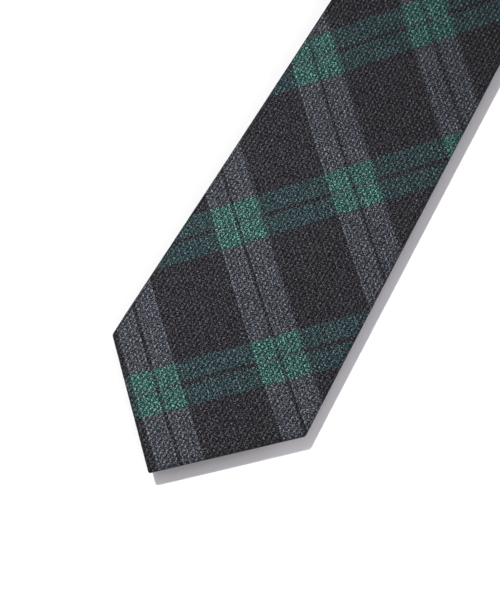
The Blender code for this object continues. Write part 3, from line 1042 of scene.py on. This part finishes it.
KEEPER_ALONG = 174.0
KEEPER_SPAN = 52.0
KEEPER_WIDTH = 12.0
KEEPER_FOOT = 5.5  # how much is turned under at each end
KEEPER_PLY = 0.42
KEEPER_LOW = BACK + 0.23  # depth of the turned-under foot
KEEPER_HIGH = BACK + 0.92  # depth of the band
KEEPER_CROWN = 0.12
BIAS = 0.71  # threads run at 45 degrees to the band


def fuller(wave, power):
    """A sine or cosine with fuller shoulders, for a section that is nearer to a rectangle."""
    return np.sign(wave) * abs(wave) ** power


def keeper_path():
    """(across, depth) down the middle of the band, from one turned-under foot over the top to the other."""
    half = KEEPER_SPAN / 2
    middle, radius = (KEEPER_LOW + KEEPER_HIGH) / 2, (KEEPER_HIGH - KEEPER_LOW) / 2
    foot = [(y, KEEPER_LOW) for y in np.linspace(half - KEEPER_FOOT, half - radius, 6)]
    angles = np.linspace(-math.pi / 2, math.pi / 2, 9)[1:-1]
    turn = [(half - radius + radius * math.cos(a), middle + radius * math.sin(a)) for a in angles]
    places = np.linspace(half - radius, 0, 14)
    over = [(y, KEEPER_HIGH + KEEPER_CROWN * math.cos(y / half * math.pi / 2)) for y in places]
    path = np.array(foot + turn + over)
    return np.concatenate([path, (path * (-1, 1))[-2::-1]])


def keeper():
    """The loop on the blade's back: a band of the plaid with rounded long edges and its ends turned under."""
    path = keeper_path()
    step = directions(path)
    out = np.stack([step[:, 1], -step[:, 0]], -1)
    run = distances_down(path)[:, None]
    around = np.linspace(0, 2 * math.pi, 33)[:-1]
    wide = fuller(np.cos(around), 0.55) * KEEPER_WIDTH / 2
    thick = fuller(np.sin(around), 0.75) * KEEPER_PLY / 2
    across = path[:, :1] + out[:, :1] * thick
    depth = path[:, 1:] + out[:, 1:] * thick
    along = np.broadcast_to(KEEPER_ALONG + wide, across.shape)
    # The band's long edges take the turn value, so the plaid's painted shade darkens them.
    edge = np.broadcast_to(abs(np.cos(around)) ** 6, across.shape)
    cloth = np.stack([BIAS * (run + along), BIAS * (along - run), edge], -1)
    points = place(along, across, depth)
    faces = grid_faces(len(path), len(around), True)
    last = (len(path) - 1) * len(around)
    faces.append(tuple(range(len(around))))
    faces.append(tuple(last + k for k in reversed(range(len(around)))))
    return mesh_object("keeper_band", points.reshape(-1, 3), faces, PLAID, cloth.reshape(-1, 3))


# ---- the pieces, and what moves them

# The joint, the side its fold bulges to along x, and the bodies above and below it.
BLADE_BEND = ("blade_fold", 1, "front_blade", "upper_blade")
NECK_BEND = ("neck_fold", -1, "upper_blade", "neck")
TAIL_BEND = ("tail_fold", 1, "neck", "tail")

NECK_SHIFT = 17.0  # how far into the plaid's repeat the neck and the tail are cut
TAIL_SHIFT = 31.0
CANVAS_STOP = 1.0  # how far from the neck fold the canvases stop
STITCH_CLEAR = 3.0  # how far from a fold the slip stitches stop
TACK_CLEAR = 4.0  # and how far from a bar tack


def fold(piece, joint, outward, above, below):
    """Bakes a piece's placement into its mesh and reads its points.
    """
    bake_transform(piece)
    points = np.empty(len(piece.data.vertices) * 3)
    piece.data.vertices.foreach_get("co", points)


def finish_piece(piece, slot, nodes, body=None, bend=None):
    """Hides the parts a piece stands for, and hangs it from the body it rides on or passes it to fold()."""
    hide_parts(*nodes)
    if bend:
        fold(piece, *bend)
    else:
        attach(piece, body)


def finish_sheet(made, slot, nodes, held, rests_on=(), **motion):
    """The same for a sheet, made as its piece and the grid of its cloth laid flat."""
    piece, flat = made
    finish_piece(piece, slot, nodes, **motion)


def build_shells():
    made = shell("blade_shell", front_run(FRONT_SEAM, True), 0.0, FRONT_TACK)
    nodes = ("front_blade_shell_lower", "blade_fold_bend", "front_blade_shell_upper")
    finish_sheet(made, "shell", nodes, "folded", ["neck_cover"], bend=BLADE_BEND)
    made = shell("neck_cover", plain_run(FRONT_SEAM, TAIL_SEAM), NECK_SHIFT)
    nodes = ("neck_shell_front", "neck_fold_bend", "neck_shell_rear")
    finish_sheet(made, "shell", nodes, "folded", ["tail_cover"], bend=NECK_BEND)
    made = shell("tail_cover", tail_run(TAIL_SEAM, True), TAIL_SHIFT, TAIL_TACK)
    nodes = ("tail_shell_upper", "tail_fold_bend", "tail_shell_lower")
    finish_sheet(made, "shell", nodes, "folded", bend=TAIL_BEND)


def build_insides():
    made = interlining("blade_canvas", front_run(UPPER_END - CANVAS_STOP))
    nodes = ("front_interlining_lower", "front_interlining_upper")
    finish_sheet(made, "interlining", nodes, "folded", ["blade_shell"], bend=BLADE_BEND)
    made = interlining("tail_canvas", tail_run(NECK_START + CANVAS_STOP))
    nodes = ("tail_interlining_upper", "tail_interlining_lower")
    finish_sheet(made, "interlining", nodes, "folded", ["tail_cover"], bend=TAIL_BEND)
    made = tipping("blade_lining", front_run(FRONT_TIPPING), FRONT_TACK)
    finish_sheet(made, "lining", ("front_tipping",), "laid", ["blade_canvas"], body="front_blade")
    made = tipping("tail_lining", tail_run(TIE_LENGTH - TAIL_TIPPING), TAIL_TACK)
    finish_sheet(made, "lining", ("tail_tipping",), "laid", ["tail_canvas"], body="tail")


def build_stitches():
    blade_start = FRONT_TACK + TACK_CLEAR
    tail_end = TIE_LENGTH - TAIL_TACK - TACK_CLEAR
    for layer, body, start, end in (
        ("blade", "front_blade", blade_start, FAR_FOLD - STITCH_CLEAR),
        ("upper", "upper_blade", UPPER_START + STITCH_CLEAR, UPPER_END - STITCH_CLEAR),
        ("neck", "neck", NECK_START + STITCH_CLEAR, NECK_END - STITCH_CLEAR),
        ("tail", "tail", TAIL_START + STITCH_CLEAR, tail_end),
    ):
        piece = slip_stitches(f"{layer}_back_stitches", start, end)
        finish_piece(piece, "thread", (f"slip_stitch_{layer}",), body)
    for piece, node, body in (
        (bar_tack("blade_tack", FRONT_TACK, (1.6, 9.0)), "front_bar_tack", "front_blade"),
        (bar_tack("tail_tack", TIE_LENGTH - TAIL_TACK, (1.4, 7.0)), "tail_bar_tack", "tail"),
        (seam_stitches("blade_seam_stitches", FRONT_SEAM), "front_neck_seam", "upper_blade"),
        (seam_stitches("tail_seam_stitches", TAIL_SEAM), "tail_neck_seam", "neck"),
    ):
        finish_piece(piece, "thread", (node,), body)


def build_keeper():
    finish_piece(keeper(), "shell", ("keeper_loop",), "front_blade")
    for number, side in ((1, 1), (2, -1)):
        across = side * (KEEPER_SPAN / 2 + 0.1)
        piece = tack(f"keeper_stitch_{number}", KEEPER_ALONG, across, (9.0, 1.4))
        finish_piece(piece, "thread", (f"keeper_tack_{number}",), "front_blade")


def build_labels():
    made = label("brand_patch", BRAND_LABEL_ALONG, BRAND_LABEL, 0.1)
    finish_sheet(made, "label", ("brand_label",), "laid", ["blade_shell"], body="front_blade")
    spots = [(1, 1), (1, -1), (-1, 1), (-1, -1)]
    for number, (end, side) in enumerate(spots, 1):
        along = BRAND_LABEL_ALONG + end * (BRAND_LABEL[0] / 2 - 1.5)
        across = side * (BRAND_LABEL[1] / 2 - 2.0)
        piece = tack(f"brand_patch_stitch_{number}", along, across, (1.0, 3.0), LABEL_PLY)
        finish_piece(piece, "thread", (f"brand_label_tack_{number}",), "front_blade")

    along = TIE_LENGTH - (CARE_LABEL_X - TAIL_POINT)
    made = label("care_patch", along, CARE_LABEL, 0.05)
    finish_sheet(made, "label", ("care_label",), "laid", ["tail_cover"], body="tail")


# ---- floor, light and camera

TIE_ANGLE = math.radians(59.58)  # how far the tie is turned from the picture's right
VIEW_HEIGHT = 206.4  # millimetres from the bottom of the picture to its top
VIEW_MIDDLE = (34.81, 59.55)  # the middle of the picture, right of the tie's point and up from it
LENS, SENSOR = 200.0, 36.0

FLOOR_REACH = 3.0
FLOOR_DROP = 0.0003

SHADOW_WAY = (-6.0, 14.0)  # from the shadow to the light, in the picture
SUN_TILT = 20.5
SUN_SPREAD = 1.1
SUN_ENERGY = 2.45
SOFT_SPREAD = 35.0
SOFT_ENERGY = 0.6
SIDE_WAY = (0.9, 0.42, 0.6)  # towards the side light: right, up and off the floor
SIDE_SPREAD = 42.0
SIDE_ENERGY = 1.15
GLOW_ASIDE = 0.01
GLOW_HEIGHT = 0.36
GLOW_SIZE = 0.25
GLOW_POWER = 0.22
FILL = 0.16
FILL_COLOUR = (1.0, 0.945, 1.04)


def picture_axes():
    """The picture's right and up, on the floor, in the row frame."""
    right = Vector((math.cos(TIE_ANGLE), -math.sin(TIE_ANGLE), 0))
    up = Vector((math.sin(TIE_ANGLE), math.cos(TIE_ANGLE), 0))
    return right, up


def build_floor():
    mesh = bpy.data.meshes.new("floor")
    corners = [(-1, -1), (1, -1), (1, 1), (-1, 1)]
    mesh.from_pydata([(x * FLOOR_REACH, y * FLOOR_REACH, 0) for x, y in corners], [], [(0, 1, 2, 3)])
    paper = {"Base Color": (0.9, 0.9, 0.9, 1), "Roughness": 0.9, "Specular IOR Level": 0.1}
    mesh.materials.append(Graph("floor_paper", **paper).material)
    floor = bpy.data.objects.new("floor", mesh)
    floor.location.z = -FLOOR_DROP
    bpy.context.scene.collection.objects.link(floor)


def add_light(name, kind, energy, location, toward, **settings):
    """A light at a place in metres that shines against toward, the way to it from the tie."""
    data = bpy.data.lights.new(name, kind)
    data.energy = energy
    for key, value in settings.items():
        setattr(data, key, value)
    light = bpy.data.objects.new(name, data)
    light.location = location
    light.rotation_euler = toward.to_track_quat("Z", "Y").to_euler()
    light.visible_camera = False
    bpy.context.scene.collection.objects.link(light)


def build_light():
    """A key light from the picture's upper left, a softer one round it, one from the side, and a glow."""
    right, up = picture_axes()
    off_floor = Vector((0, 0, 1))
    key_way = (SHADOW_WAY[0] * right + SHADOW_WAY[1] * up).normalized()
    key_way = key_way * math.tan(math.radians(SUN_TILT)) + off_floor
    add_light("key", "SUN", SUN_ENERGY, (0, 0, 1), key_way, angle=math.radians(SUN_SPREAD))
    add_light("soft_key", "SUN", SOFT_ENERGY, (0, 0, 1), key_way, angle=math.radians(SOFT_SPREAD))
    side_way = SIDE_WAY[0] * right + SIDE_WAY[1] * up + SIDE_WAY[2] * off_floor
    spread = math.radians(SIDE_SPREAD)
    add_light("side", "SUN", SIDE_ENERGY, (0, 0, 1), side_way, angle=spread, color=FILL_COLOUR)
    over_point = Vector((POINT_X * MM, 0, 0)) + (right - up) * GLOW_ASIDE + off_floor * GLOW_HEIGHT
    add_light("glow", "AREA", GLOW_POWER, over_point, off_floor, size=GLOW_SIZE)


def build_world():
    world = bpy.data.worlds.new("studio")
    world.use_nodes = True
    background = world.node_tree.nodes["Background"]
    background.inputs["Color"].default_value = (*FILL_COLOUR, 1)
    background.inputs["Strength"].default_value = FILL
    bpy.context.scene.world = world
    bpy.context.scene.view_settings.view_transform = "Standard"


def build_camera():
    right, up = picture_axes()
    point = Vector((POINT_X, POINT_ACROSS, blade_high[2])) * MM
    centre = point + (right * VIEW_MIDDLE[0] + up * VIEW_MIDDLE[1]) * MM
    data = bpy.data.cameras.new("camera")
    data.lens = LENS
    data.sensor_fit = "VERTICAL"
    data.sensor_width = SENSOR
    data.sensor_height = SENSOR
    camera = bpy.data.objects.new("camera", data)
    camera.location = centre + Vector((0, 0, VIEW_HEIGHT * LENS / SENSOR * MM))
    camera.rotation_euler = (0, 0, -TIE_ANGLE)
    bpy.context.scene.collection.objects.link(camera)
    bpy.context.scene.camera = camera


build_shells()
build_insides()
build_stitches()
build_keeper()
build_labels()
build_floor()
build_light()
build_world()
build_camera()
